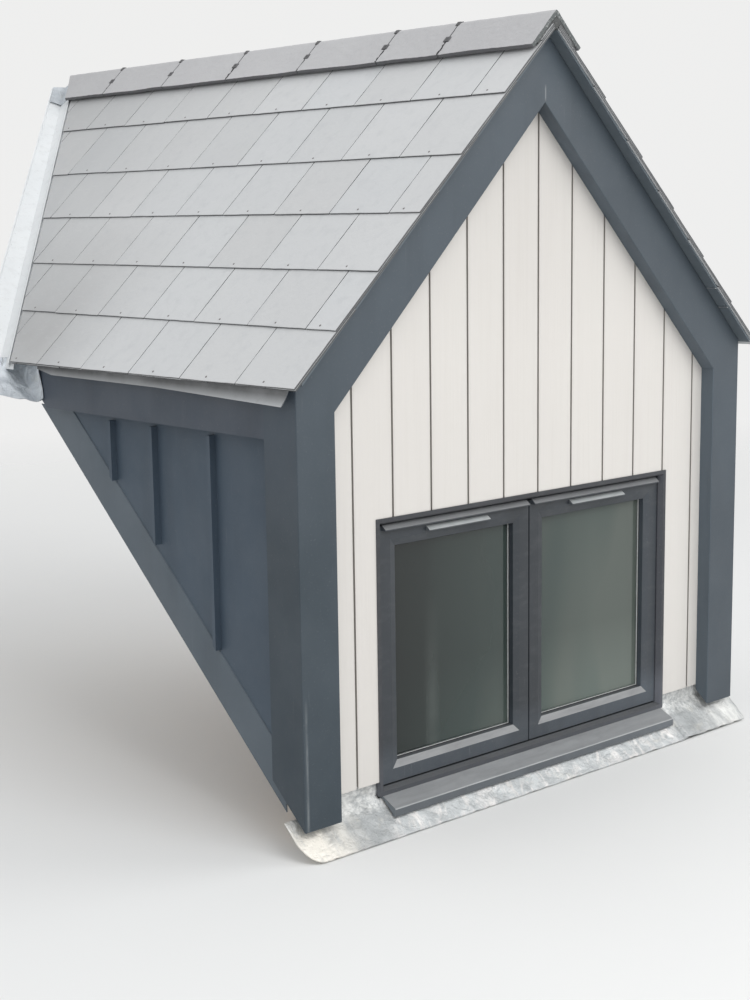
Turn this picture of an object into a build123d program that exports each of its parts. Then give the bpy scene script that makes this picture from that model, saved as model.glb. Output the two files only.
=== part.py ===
from build123d import *
from math import cos, radians, tan
import os

# A gabled dormer window for a pitched slate roof: framed front and cheeks, a slated roof with an
# angled ridge, valleys against the main roof, and a pair of flush casements between corner posts.
# x runs across the front, y back into the roof, z up. The origin is the middle of the underside of
# the front sole plate, which lies on the rafters of the main roof. All sizes are in millimetres.

# Slopes, in degrees
main_roof_pitch = 40.5
dormer_pitch = 44.85

# Surround: corner posts, bargeboards and their projection in front of the boarding
width_over_posts = 1828.0
post_width = 128.0
post_depth = 134.0
surround_projection = 47.0
bargeboard_foot = 152.0
bargeboard_head = 140.0
post_foot_gap = 42.0
fold_radius = 3.0

# Main roof covering that the flashings lie on, from the rafters up to the slates
covering_height = 65.0

# Walls
wall_thickness = 126.0
cheek_thickness = 100.0
sheathing_thickness = 15.0
timber_width = 45.0
timber_spacing = 300.0
lintel_height = 140.0
plate_thickness = 45.0
boarding_thickness = 18.0
boarding_foot_gap = 58.0
board_pitch = 142.8
board_shift = 23.5
groove_width = 7.0
groove_depth = 6.0
sole_height = 40.0

# Dormer roof
eaves_height = 1211.0
eaves_overhang = 48.0
verge_overhang = 43.0
deck_board = 18.0
rafter_depth = 92.0
birdsmouth = 20.0
ridge_board_thickness = 36.0
ridge_board_depth = 150.0
slate_stack = 14.0
slate_thickness = 5.0
slate_gauge = 210.0
slate_head_gap = 22.0
sheet_layer = 3.0
undercloak_thickness = 6.0
undercloak_end = 8.0

# Eaves
fascia_thickness = 20.0
fascia_drop = 137.0
fascia_lift = 32.0
soffit_thickness = 10.0
tray_reach = 24.0
tray_flare = 12.0
tray_drop = 30.0
tray_front_drop = 42.0
tray_front_slant = 16.0
tray_right_setback = 34.0
tray_front_taper = 560.0
tray_rear_drop = 17.0
tray_rear_taper = 90.0

# Ridge
ridge_wing = 140.0
ridge_thickness = 12.0
ridge_rise = 24.0
ridge_tile_length = 378.0
ridge_joint = 4.0
ridge_mitre_gap = 18.0
mortar_recess = 3.0

# Valleys
valley_gap = 45.0
valley_head_wing = 60.0
valley_foot_wing = 100.0
valley_head_gap = 28.0
valley_underlap = 90.0
valley_rib_height = 12.0
valley_rib_width = 6.0
valley_rib_gap = 15.0
valley_sink = 22.0
valley_tail = 40.0
lay_board_width = 200.0

# Cheek covering
cheek_recess = 48.0
cheek_sheet = 25.0
seam_width = 14.0
seam_height = 20.0
seam_places = (280.0, 560.0, 776.0)
seam_lifts = (100.0, 121.0, 100.0)
seam_head_gap = 18.0
cheek_flashing_height = 92.0
cheek_flashing_foot = 60.0
cheek_flashing_bevel = 2.5

# Lead
lead_thickness = 3.0
apron_drop = 42.0
apron_side = 20.0
apron_left_corner = 60.0
apron_right_corner = 10.0
saddle_reach = 170.0
saddle_drop = 146.0
saddle_nose = 100.0
saddle_set = 14.0
saddle_lift = 42.0
saddle_lean = 32.0
ridge_saddle_width = 236.0
ridge_saddle_lap = 90.0
ridge_saddle_slant = 51.0
ridge_saddle_underlap = 38.0

# Window
window_width = 1222.0
window_height = 778.0
window_lift = 56.5
frame_proud = 3.0
frame_depth = 76.0
frame_lip = 12.0
frame_face = 20.0
frame_web = 18.0
mullion_width = 80.0
sash_setback = 16.0
sash_gap = 5.0
sash_face = 38.0
sash_depth = 48.0
bead_width = 21.0
bead_depth = 6.0
glass_thickness = 20.0
glass_setback = 26.0
glass_edge = 10.0
hood_front = 4.0
hood_rounding = 1.5
drip_height = 16.0
drip_reach = 15.0
drip_lift = 4.0
drip_end = 8.0
vent_length = 240.0
vent_height = 14.0
vent_reach = 15.0
vent_drop = 19.0
handle_length = 120.0
handle_width = 16.0
handle_reach = 30.0
sill_nose = 22.0
sill_nose_depth = 14.0
sill_reach = 52.0
sill_fall = 24.0
sill_thickness = 8.0
sill_inset = 10.0
sill_rounding = 4.0

# Worked out from the sizes above
main_rise = tan(radians(main_roof_pitch))
slope_rise = tan(radians(dormer_pitch))
slope_cos = cos(radians(dormer_pitch))
post_outer = width_over_posts / 2
post_inner = post_outer - post_width
wall_front = -wall_thickness / 2
wall_back = wall_thickness / 2
boarding_face = wall_front - boarding_thickness
front_face = boarding_face - surround_projection
post_back = front_face + post_depth
cheek_face = post_outer - cheek_recess
wall_outer = cheek_face - cheek_sheet
wall_inner = wall_outer - cheek_thickness
eaves_x = post_outer + eaves_overhang
reach = 2 * (eaves_height + width_over_posts)


def cover_z(y, lift=0.0):
    """Height of the main roof's slates at depth y, or a plane that lies lift above them."""
    return y * main_rise + covering_height + lift


eaves_z = cover_z(front_face) + eaves_height
apex_z = eaves_z + eaves_x * slope_rise


def slope_z(x, depth=0.0):
    """Height of a plane parallel to the dormer slates, at a depth square to the slope."""
    return apex_z - abs(x) * slope_rise - depth / slope_cos


def valley_y(x, depth=0.0, lift=0.0):
    """Depth y at which a dormer slope plane meets a plane parallel to the main roof."""
    return (slope_z(x, depth) - covering_height - lift) / main_rise


# Depths below the dormer slates, square to the slope
deck_top = slate_stack + sheet_layer
rafter_top = deck_top + deck_board
deck_bottom = rafter_top + rafter_depth
barge_top = slate_stack + undercloak_thickness
barge_foot = barge_top + bargeboard_foot
barge_head = barge_top + bargeboard_head
fascia_back_x = post_outer - fascia_thickness
fascia_bottom = eaves_z - fascia_drop
soffit_top = fascia_bottom + soffit_thickness
fascia_end = (fascia_bottom - covering_height - fascia_lift) / main_rise


def outline(points):
    return make_face(Polyline(*points, close=True))


def across(points, x_start, x_end):
    """Extrude a side profile of (y, z) points from x_start to x_end."""
    return Pos(x_start, 0, 0) * extrude(Plane.YZ * outline(points), amount=x_end - x_start)


def along(points, y_start, y_end):
    """Extrude a front profile of (x, z) points back from y_start to y_end."""
    return Pos(0, y_start, 0) * extrude(Plane.XZ * outline(points), amount=y_start - y_end)


def block(x_span, y_span, z_span):
    corner = (x_span[0], y_span[0], z_span[0])
    size = [span[1] - span[0] for span in (x_span, y_span, z_span)]
    return Pos(*corner) * Box(*size, align=(Align.MIN, Align.MIN, Align.MIN))


def main_layer(plan, low, high):
    """Part of a plan outline between two planes, low and high above the main roof's slates."""
    band = [
        (-reach, cover_z(-reach, low)),
        (reach, cover_z(reach, low)),
        (reach, cover_z(reach, high)),
        (-reach, cover_z(-reach, high)),
    ]
    column = Pos(0, 0, -reach) * extrude(outline(plan), amount=2 * reach)
    return column & across(band, -reach, reach)


def slope_layer(plan, top, bottom):
    """Part of a plan outline on the left slope between two depths below the dormer slates."""
    band = [
        (-reach, slope_z(reach, top)),
        (0, slope_z(0, top)),
        (0, slope_z(0, bottom)),
        (-reach, slope_z(reach, bottom)),
    ]
    column = Pos(0, 0, -reach) * extrude(outline(plan), amount=2 * reach)
    return column & along(band, -reach, reach)


def under_main(lift):
    """Everything lower than a plane that lies lift above the main roof's slates."""
    corners = [
        (-reach, cover_z(-reach, lift)),
        (reach, cover_z(reach, lift)),
        (reach, -2 * reach),
        (-reach, -2 * reach),
    ]
    return across(corners, -reach, reach)


def over_slopes(depth):
    """Everything higher than both dormer slopes at a depth below the slates."""
    corners = [
        (-reach, slope_z(reach, depth)),
        (0, slope_z(0, depth)),
        (reach, slope_z(reach, depth)),
        (reach, 2 * reach),
        (-reach, 2 * reach),
    ]
    return along(corners, -reach, reach)


def valley_band(start, end, x_far=eaves_x, x_near=0.0, lift=0.0):
    """Plan outline beside the left valley line, from start to end measured in y."""
    return [
        (-x_near, valley_y(x_near, deck_top, lift) + start),
        (-x_far, valley_y(x_far, deck_top, lift) + start),
        (-x_far, valley_y(x_far, deck_top, lift) + end),
        (-x_near, valley_y(x_near, deck_top, lift) + end),
    ]


def beyond_valleys(offset):
    """Everything farther back than both valley lines, moved by offset along y."""
    far = 2 * eaves_x
    corners = [
        (-far, valley_y(far, deck_top) + offset),
        (0, valley_y(0, deck_top) + offset),
        (far, valley_y(far, deck_top) + offset),
        (far, 2 * reach),
        (-far, 2 * reach),
    ]
    return Pos(0, 0, -reach) * extrude(outline(corners), amount=3 * reach)


def mirrored(shape):
    return mirror(shape, about=Plane.YZ)


def both(shape):
    return Compound(children=[shape, mirrored(shape)])


def behind_valley_head():
    """Everything farther back than the end of the ridge sheet."""
    return block((-reach, reach), (valley_head, reach), (-reach, reach))


sole_lift = sole_height - covering_height
ridge_rear = valley_y(0, deck_top) - ridge_mitre_gap
valley_head = ridge_rear + valley_head_gap
ridge_half = ridge_board_thickness / 2
ridge_board_top = slope_z(ridge_half, deck_top)
sheathing_inner = wall_outer - sheathing_thickness
studs_front = wall_front + sheathing_thickness
plate_top = slope_z(sheathing_inner, deck_bottom) + birdsmouth
plate_low = plate_top - plate_thickness
window_bottom = cover_z(front_face) + window_lift
window_top = window_bottom + window_height
window_half = window_width / 2


# Plates and boards that lie on the rafters of the main roof
def front_sole():
    """Sole of the front wall, rebated for the bottom of the window."""
    plan = [
        (-wall_outer, wall_front),
        (wall_outer, wall_front),
        (wall_outer, wall_back),
        (-wall_outer, wall_back),
    ]
    return main_layer(plan, -covering_height, sole_lift) - window_envelope()


def left_lay_board():
    """Board under the left valley and the feet of the dormer rafters."""
    plan = valley_band(-lay_board_width, valley_head_wing, wall_outer, ridge_joint, -valley_sink)
    return main_layer(plan, -covering_height, -valley_sink) - behind_valley_head()


def lay_boards():
    return both(left_lay_board())


def side_soles():
    plan = [
        (-wall_outer, wall_back),
        (-wall_inner, wall_back),
        (-wall_inner, valley_y(wall_inner)),
        (-wall_outer, valley_y(wall_inner)),
    ]
    sole = main_layer(plan, -covering_height, sole_lift)
    return both(sole - left_lay_board() - over_slopes(deck_bottom))


# Front wall framing
def window_hole():
    return block((-window_half, window_half), (-reach, reach), (-reach, window_top))


def upright(x_start, y_span, z_low=-reach, head_depth=0.0):
    """Stud from the sole, or from z_low, to the underside of a plate along the dormer slopes."""
    stud = block((x_start, x_start + timber_width), y_span, (z_low, apex_z))
    return stud - under_main(sole_lift) - over_slopes(deck_bottom + head_depth)


def front_studs():
    """Studs at the corners, beside the window, and evenly spaced above the lintel."""
    depth = (studs_front, wall_back)
    beside = [-wall_outer, -window_half - timber_width, window_half, wall_outer - timber_width]
    studs = [upright(x, depth, head_depth=plate_thickness) for x in beside]
    bays = int(window_width / timber_spacing) + 1
    for index in range(1, bays):
        x = -window_half + index * window_width / bays - timber_width / 2
        studs.append(upright(x, depth, window_top + lintel_height, plate_thickness))
    return Compound(children=studs)


def window_lintel():
    span = (window_top, window_top + lintel_height)
    return block((-window_half, window_half), (studs_front, wall_back), span)


def raking_plates():
    """Plates along both slopes at the head of the front wall."""
    low = deck_bottom + plate_thickness
    profile = [
        (-wall_outer, slope_z(wall_outer, deck_bottom)),
        (0, slope_z(0, deck_bottom)),
        (wall_outer, slope_z(wall_outer, deck_bottom)),
        (wall_outer, slope_z(wall_outer, low)),
        (0, slope_z(0, low)),
        (-wall_outer, slope_z(wall_outer, low)),
    ]
    return along(profile, studs_front, wall_back) - ridge_board()


def front_sheathing():
    sheet = block((-wall_outer, wall_outer), (wall_front, studs_front), (-reach, apex_z))
    return sheet - window_hole() - under_main(sole_lift) - over_slopes(deck_bottom) - ridge_board()


# Cheek wall framing
def left_wall_plate():
    plate = block((-sheathing_inner, -wall_inner), (wall_back, reach), (plate_low, plate_top))
    return plate - under_main(sole_lift) - left_lay_board()


def wall_plates():
    return both(left_wall_plate())


def cheek_studs():
    room = (plate_low - sole_height) / main_rise - wall_back - timber_width
    studs = []
    for index in range(int(room / timber_spacing) + 1):
        y = wall_back + index * timber_spacing
        stud = block((-sheathing_inner, -wall_inner), (y, y + timber_width), (-reach, plate_low))
        stud -= under_main(sole_lift)
        studs += [stud, mirrored(stud)]
    return Compound(children=studs)


def cheek_sheathing():
    sheet = block((-wall_outer, -sheathing_inner), (wall_back, reach), (-reach, apex_z))
    return both(sheet - under_main(sole_lift) - over_slopes(deck_bottom) - left_lay_board())


# Dormer roof framing
def ridge_board():
    span = (ridge_board_top - ridge_board_depth, ridge_board_top)
    return block((-ridge_half, ridge_half), (boarding_face, reach), span) - under_main(-valley_sink)


def eaves_trim():
    """Space of the corner post, and of the soffit up to the end of the fascia."""
    post = block((-reach, -cheek_face), (front_face, post_back), (-reach, reach))
    return post + block((-reach, -cheek_face), (-reach, fascia_end), (-reach, soffit_top))


def slope_profile(top, bottom):
    """Section of a layer on the left slope, from the fascia up to the ridge board."""
    return [
        (-fascia_back_x, slope_z(fascia_back_x, top)),
        (-ridge_half, slope_z(ridge_half, top)),
        (-ridge_half, slope_z(ridge_half, bottom)),
        (-fascia_back_x, slope_z(fascia_back_x, bottom)),
    ]


def left_rafters():
    """Rafters notched over the wall plate; beyond the cheek they shorten onto the lay board."""
    last = valley_y(ridge_half, deck_bottom, -valley_sink) - timber_width
    trim = eaves_trim() + left_wall_plate() + under_main(-valley_sink)
    rafters = []
    for index in range(int((last - boarding_face) / timber_spacing) + 1):
        y = boarding_face + index * timber_spacing
        rafter = along(slope_profile(rafter_top, deck_bottom), y, y + timber_width)
        rafters.append(rafter - trim)
    return Compound(children=rafters)


def deck_boards():
    deck = along(slope_profile(deck_top, rafter_top), boarding_face, reach)
    return both(deck - eaves_trim() - under_main(-valley_sink))


# Front boarding with grooved joints
def front_boarding():
    boards = block((-wall_outer, wall_outer), (boarding_face, wall_front), (-reach, apex_z))
    boards -= window_hole()
    boards -= under_main(boarding_foot_gap)
    boards -= over_slopes(deck_bottom)
    boards -= ridge_board()
    count = int(wall_outer / board_pitch) + 1
    front = (-reach, boarding_face + groove_depth)
    for index in range(-count, count + 1):
        x = board_shift + index * board_pitch - groove_width / 2
        if abs(x) < wall_outer - board_shift:
            boards -= block((x, x + groove_width), front, (-reach, reach))
    return boards


# Surround
corner_z = slope_z(post_inner, barge_foot)
shoulder_z = slope_z(post_outer, barge_top)


def left_post():
    """Angle-shaped corner casing with rounded folds, mitred below the bargeboard."""
    plan = [
        (-post_outer, post_back),
        (-post_outer, front_face),
        (-post_inner, front_face),
        (-post_inner, boarding_face),
        (-cheek_face, boarding_face),
        (-cheek_face, post_back),
    ]
    angle = Pos(0, 0, -reach) * extrude(outline(plan), amount=reach + apex_z)
    front_folds = angle.edges().filter_by(Axis.Z).group_by(Axis.Y)[0]
    angle = fillet(front_folds, fold_radius)
    mitre = [
        (-post_outer, shoulder_z),
        (-post_inner, corner_z),
        (-post_inner, apex_z),
        (-post_outer, apex_z),
    ]
    angle -= along(mitre, front_face, boarding_face)
    return angle - over_slopes(barge_top) - under_main(post_foot_gap)


def left_bargeboard():
    """Board that narrows a little from its foot to the apex."""
    profile = [
        (-post_outer, shoulder_z),
        (-post_inner, corner_z),
        (0, slope_z(0, barge_head)),
        (0, slope_z(0, barge_top)),
    ]
    board = along(profile, front_face, boarding_face)
    long_front_edges = board.edges().group_by(Axis.Y)[0].sort_by(SortBy.LENGTH)[-2:]
    return fillet(long_front_edges, fold_radius)


def left_undercloak():
    """Strip under the overhanging ends of the slates."""
    front = front_face - verge_overhang + undercloak_thickness
    outer = -post_outer - undercloak_end
    plan = [
        (-ridge_joint, front),
        (outer, front),
        (outer, boarding_face),
        (-ridge_joint, boarding_face),
    ]
    return slope_layer(plan, slate_stack, barge_top)


def verge_undercloaks():
    return both(left_undercloak())


# Eaves
def left_fascia():
    """Board whose rear end is cut along the main roof."""
    board = block((-post_outer, -fascia_back_x), (post_back, reach), (fascia_bottom, apex_z))
    return board - over_slopes(deck_top) - under_main(fascia_lift)


def eaves_soffits():
    across_span = (-fascia_back_x, -cheek_face)
    return both(block(across_span, (post_back, fascia_end), (fascia_bottom, soffit_top)))


def tray_side(front):
    """Side outline of an eaves tray: deeper at its slanted front end, trimmed at its rear."""
    foot = front + tray_front_slant
    return [
        (front, eaves_z + tray_drop),
        (front, eaves_z),
        (foot, eaves_z - tray_front_drop),
        (foot + tray_front_taper, eaves_z - tray_drop),
        (fascia_end - tray_rear_taper, eaves_z - tray_drop),
        (fascia_end, eaves_z - tray_rear_drop),
        (fascia_end, eaves_z + tray_reach + cheek_recess),
    ]


def eaves_trays():
    """Sheets under the eaves slates whose lips flare out in front of the fascias."""
    lip_x = post_outer + tray_reach
    foot_x = lip_x + tray_flare
    low_z = eaves_z - tray_front_drop

    def lip_curve(shift, top_depth):
        top_z = slope_z(lip_x - shift, top_depth)
        middle = (shift - lip_x - tray_flare / 4, (top_z + low_z) / 2)
        return ThreePointArc((shift - lip_x, top_z), middle, (shift - foot_x, low_z))

    outer = lip_curve(0, slate_stack)
    inner = lip_curve(sheet_layer, deck_top)
    foot = Line(outer @ 1, inner @ 1)
    top_corner = (-cheek_face, slope_z(cheek_face, slate_stack))
    under = Polyline(inner @ 0, (-cheek_face, slope_z(cheek_face, deck_top)), top_corner, outer @ 0)
    section = Plane.XZ * make_face(outer + foot + inner + under)
    tray = Pos(0, front_face, 0) * extrude(section, amount=front_face - fascia_end)
    left = (tray & across(tray_side(front_face), -reach, 0)) - left_undercloak()
    right = tray & across(tray_side(front_face + tray_right_setback), -reach, 0)
    return Compound(children=[left, mirrored(right - left_undercloak())])


# Cheek covering with standing seams
def left_cheek_cladding():
    sheet = block((-cheek_face, -wall_outer), (boarding_face, reach), (-reach, apex_z))
    sheet = sheet - over_slopes(deck_bottom) - under_main(lead_thickness)
    head = fascia_bottom - seam_head_gap
    for place, lift in zip(seam_places, seam_lifts):
        y = post_back + place
        seam = block(
            (-cheek_face - seam_height, -cheek_face),
            (y, y + seam_width),
            (-reach, head),
        )
        sheet += seam - under_main(lift)
    return sheet


def cheek_flashings():
    """Upstands at the foot of the cheeks with bevelled tops, down to the main roof's rafters."""
    side = block(
        (-cheek_face - lead_thickness, -cheek_face),
        (post_back, reach),
        (-reach, fascia_bottom),
    )
    side = side - under_main(-cheek_flashing_foot)
    side = side - (side - under_main(cheek_flashing_height))
    top_edge = side.edges().group_by(Axis.X)[0].sort_by(SortBy.LENGTH)[-2]
    return both(chamfer(top_edge, cheek_flashing_bevel))


# Slates, stepped in courses and cut along the valley
def left_slates():
    length = (eaves_x / slope_cos) - slate_head_gap
    courses = int(length / slate_gauge) + 1

    def point(distance, depth):
        x = -eaves_x + distance * slope_cos
        return (x, slope_z(x, depth))

    profile = []
    for index in range(courses):
        head = min((index + 1) * slate_gauge, length)
        profile.append(point(index * slate_gauge, 0))
        profile.append(point(head, slate_thickness))
    profile.append(point(length, slate_stack))
    profile.append(point(0, slate_stack))
    slating = along(profile, front_face - verge_overhang, reach)
    return slating - beyond_valleys(-valley_gap)


# Ridge
ridge_apex = apex_z + ridge_rise
ridge_front = front_face - verge_overhang


def ridge_z(x, depth=0.0):
    return ridge_apex - abs(x) * slope_rise - depth / slope_cos


def ridge_joints():
    """Places of the joints: full tiles from both ends, with one cut tile second from the front."""
    run = ridge_rear - ridge_front - ridge_tile_length
    full = int(run / ridge_tile_length)
    places = [ridge_front, ridge_front + ridge_tile_length]
    for index in range(full, -1, -1):
        places.append(ridge_rear - index * ridge_tile_length)
    return places


def ridge_tiles():
    """Angle tiles, the last one cut along both valleys."""
    drop = ridge_wing * slope_cos
    half_outer = drop
    half_inner = drop - ridge_thickness * slope_cos
    profile = [
        (0, ridge_apex),
        (half_outer, ridge_z(half_outer)),
        (half_inner, ridge_z(half_inner, ridge_thickness)),
        (0, ridge_z(0, ridge_thickness)),
        (-half_inner, ridge_z(half_inner, ridge_thickness)),
        (-half_outer, ridge_z(half_outer)),
    ]
    places = ridge_joints()
    tiles = []
    for start, end in zip(places, places[1:]):
        tile = along(profile, start + ridge_joint / 2, end - ridge_joint / 2)
        tiles.append(tile - beyond_valleys(-ridge_mitre_gap))
    return Compound(children=tiles)


def ridge_bedding():
    """Mortar between the top slates and the ridge tiles, closed down to the verge in front."""
    outer = ridge_wing * slope_cos - 2 * ridge_thickness
    slate_end = slate_head_gap * slope_cos
    profile = [
        (0, ridge_z(0, ridge_thickness)),
        (outer, ridge_z(outer, ridge_thickness)),
        (outer, slope_z(outer)),
        (0, slope_z(0)),
        (-outer, slope_z(outer)),
        (-outer, ridge_z(outer, ridge_thickness)),
    ]
    plug = [
        (0, slope_z(0)),
        (slate_end, slope_z(slate_end)),
        (slate_end, slope_z(slate_end, slate_stack)),
        (ridge_joint, slope_z(ridge_joint, slate_stack)),
        (ridge_joint, slope_z(ridge_joint, barge_top)),
        (0, slope_z(0, barge_top)),
        (-ridge_joint, slope_z(ridge_joint, barge_top)),
        (-ridge_joint, slope_z(ridge_joint, slate_stack)),
        (-slate_end, slope_z(slate_end, slate_stack)),
        (-slate_end, slope_z(slate_end)),
    ]
    front = ridge_front + mortar_recess
    bed = along(profile, front, ridge_rear) + along(plug, front, boarding_face)
    return bed - beyond_valleys(-valley_gap)


# Valleys
def left_valley():
    """Sunk sheet that widens to its foot, ribbed at both edges, with a wing under the slates."""
    tail = eaves_x + valley_tail
    sink = -valley_sink
    rib_top = sink + valley_rib_height
    head_fold = (0, valley_y(0, deck_top, sink))
    foot_fold = (-tail, valley_y(tail, deck_top, sink))
    foot_edge = (foot_fold[0], foot_fold[1] + valley_foot_wing)
    head_edge = (head_fold[0], head_fold[1] + valley_head_wing)
    flat = main_layer([head_fold, foot_fold, foot_edge, head_edge], sink, sink + sheet_layer)
    under_plan = valley_band(-valley_underlap, 0, eaves_x, 0.0, sink)
    slate_rib_end = valley_rib_gap - valley_gap
    slate_rib = valley_band(slate_rib_end - valley_rib_width, slate_rib_end)
    edge_rib = [
        head_edge,
        foot_edge,
        (foot_edge[0], foot_edge[1] - valley_rib_width),
        (head_edge[0], head_edge[1] - valley_rib_width),
    ]
    sheet = flat + slope_layer(under_plan, slate_stack, deck_top)
    rib_depth = deck_top - valley_rib_height
    sheet += slope_layer(slate_rib, rib_depth, deck_top) - ridge_saddle_cover()
    sheet += main_layer(edge_rib, sink, rib_top)
    return sheet - under_main(sink) - behind_valley_head()


# Lead
def valley_saddles():
    """Sheets that turn the valleys' water out over the slates, with upstands beside the eaves."""
    top = valley_y(eaves_x, deck_top, -valley_sink)
    side = post_outer + saddle_reach
    plan = [
        (-fascia_back_x, top - saddle_drop),
        (-post_outer - lead_thickness, top - saddle_drop),
        (-side, top - saddle_nose),
        (-side, top),
        (-fascia_back_x, top),
    ]
    front = fascia_end + saddle_set
    upstand_side = [
        (top - saddle_drop, cover_z(top - saddle_drop)),
        (front, cover_z(front, saddle_lift)),
        (front, cover_z(front, 1.5 * saddle_lift)),
        (front + saddle_lean, slope_z(post_outer, deck_top)),
        (top, slope_z(post_outer, deck_top)),
        (top, cover_z(top)),
    ]
    upstand = across(upstand_side, -post_outer - lead_thickness, -post_outer)
    upstand = upstand - under_main(0) - over_slopes(deck_top)
    return both(main_layer(plan, 0, lead_thickness) + upstand - left_valley())


def front_apron():
    """Sheet over the slates in front, turned up against the wall below the boarding."""
    side = post_outer + apron_side
    low = front_face - apron_drop
    plan = [(-side, low), (side, low), (side, wall_front), (-side, wall_front)]
    column = extrude(outline(plan), amount=2 * reach)
    left_corner = column.edges().filter_by(Axis.Z).group_by(Axis.Y)[0].sort_by(Axis.X)[0]
    column = fillet(left_corner, apron_left_corner)
    right_corner = column.edges().filter_by(Axis.Z).group_by(Axis.Y)[0].sort_by(Axis.X)[-1]
    column = Pos(0, 0, -reach) * fillet(right_corner, apron_right_corner)
    sheet = column - under_main(0) - (column - under_main(lead_thickness))
    upstand = block(
        (-wall_outer, wall_outer), (wall_front - lead_thickness, wall_front), (-reach, reach)
    )
    upstand = upstand - under_main(0) - (upstand - under_main(boarding_foot_gap))
    return sheet + upstand - window_envelope()


def ridge_saddle_cover():
    """Space above and below the plan of the sheet over the valley heads."""
    half = ridge_saddle_width / 2
    low = ridge_rear - ridge_saddle_lap
    corner_y = low + ridge_saddle_slant
    head_x = half - (valley_head - corner_y) / slope_rise * main_rise
    plan = [
        (0, low),
        (half, corner_y),
        (head_x, valley_head),
        (-head_x, valley_head),
        (-half, corner_y),
    ]
    return Pos(0, 0, -reach) * extrude(outline(plan), amount=2 * reach)


def ridge_saddle():
    """Sheet over the heads of both valleys, folded onto the dormer slopes behind the ridge."""
    lift = valley_rib_height - valley_sink
    column = ridge_saddle_cover() & beyond_valleys(-ridge_saddle_underlap)
    inside = column - (over_slopes(slate_stack) - under_main(lift))
    above = over_slopes(slate_stack - lead_thickness) - under_main(lift + lead_thickness)
    return column - above - inside


# Window
frame_y = boarding_face - frame_proud
frame_back = frame_y + frame_depth
sash_y = frame_y + sash_setback
web_front = sash_y + sash_depth + sash_gap
window_z = window_bottom + window_height / 2


def window_envelope():
    """Space of the window and its sill, cut out of the pieces around them."""
    height = (window_bottom - sill_thickness, window_top)
    return block((-window_half, window_half), (frame_y - reach, frame_back), height)


def rectangle(x_mid, width, height, y):
    """Upright rectangle at the window's mid height that faces along y."""
    return Pos(x_mid, y, window_z) * (Plane.XZ * Rectangle(width, height))


def frame_opening(face, y):
    """Opening inside frame rails that are face wide."""
    return rectangle(0, window_width - 2 * face, window_height - 2 * face, y)


def window_frame():
    """Frame with bevelled lips, a rebate around the sashes, and a mullion behind their meeting."""
    solid = extrude(frame_opening(0, frame_y), amount=-frame_depth)
    mouth = loft([frame_opening(frame_lip, frame_y), frame_opening(frame_face, sash_y)])
    rebate = extrude(frame_opening(frame_face, sash_y), amount=sash_y - web_front)
    web_opening = frame_opening(frame_face + frame_web, web_front)
    light = extrude(web_opening, amount=web_front - frame_back)
    mullion = block(
        (-mullion_width / 2, mullion_width / 2),
        (web_front, frame_back),
        (window_bottom + frame_face, window_top - frame_face),
    )
    return solid - mouth - rebate - light + mullion


sash_width = (window_width - 2 * frame_face - 3 * sash_gap) / 2
sash_height = window_height - 2 * frame_face - 2 * sash_gap
sash_x = (sash_width + sash_gap) / 2
sash_top = window_z + sash_height / 2
bead_y = sash_y + bead_depth
glass_y = sash_y + glass_setback
sight_cut = sash_face + bead_width


def sash_opening(face, y):
    """Opening inside left sash rails that are face wide."""
    return rectangle(-sash_x, sash_width - 2 * face, sash_height - 2 * face, y)


def left_sash():
    """Flush sash with a shallow bevelled bead around a deep glass opening."""
    sash = extrude(sash_opening(0, sash_y), amount=-sash_depth)
    mouth = loft([sash_opening(sash_face, sash_y), sash_opening(sight_cut, bead_y)])
    through = extrude(sash_opening(sight_cut, bead_y), amount=bead_depth - sash_depth)
    return sash - mouth - through - left_pane()


def left_pane():
    return extrude(sash_opening(sight_cut - glass_edge, glass_y), amount=-glass_thickness)


def glass_units():
    return both(left_pane())


def hood(length, top, height, depth):
    """Strip on the face of the left sash with a sloping top and a short front edge."""
    profile = [
        (sash_y, top),
        (sash_y - depth, top - height + hood_front),
        (sash_y - depth, top - height),
        (sash_y, top - height),
    ]
    strip = across(profile, -sash_x - length / 2, -sash_x + length / 2)
    front_edges = strip.edges().filter_by(Axis.X).group_by(Axis.Y)[0]
    return fillet(front_edges, hood_rounding)


def drip_bars():
    length = sash_width - 2 * drip_end
    return both(hood(length, sash_top + drip_lift, drip_height, drip_reach))


def trickle_vents():
    return both(hood(vent_length, sash_top - vent_drop, vent_height, vent_reach))


def window_handles():
    """Lever handles on the inner face of the sashes, beside the mullion."""
    sash_back = sash_y + sash_depth
    x_mid = -(mullion_width / 2 + sash_gap + sight_cut + sash_gap / 2) / 2
    lever_x = (x_mid - handle_width / 2, x_mid + handle_width / 2)
    base_y = sash_back + handle_width / 2
    base = block(lever_x, (sash_back, base_y), (window_z - handle_width, window_z + handle_width))
    rod = Pos(x_mid, base_y, window_z) * (Plane.XZ * Circle(handle_width / 3))
    spindle = extrude(rod, amount=handle_width - handle_reach)
    lever_y = sash_back + handle_reach - handle_width / 2
    side = Plane.YZ * SlotCenterToCenter(handle_length, handle_width, rotation=90)
    lever = extrude(side, amount=handle_width)
    lever = Pos(lever_x[0], lever_y, window_z - handle_length / 2) * lever
    return both(base + spindle + lever)


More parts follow.
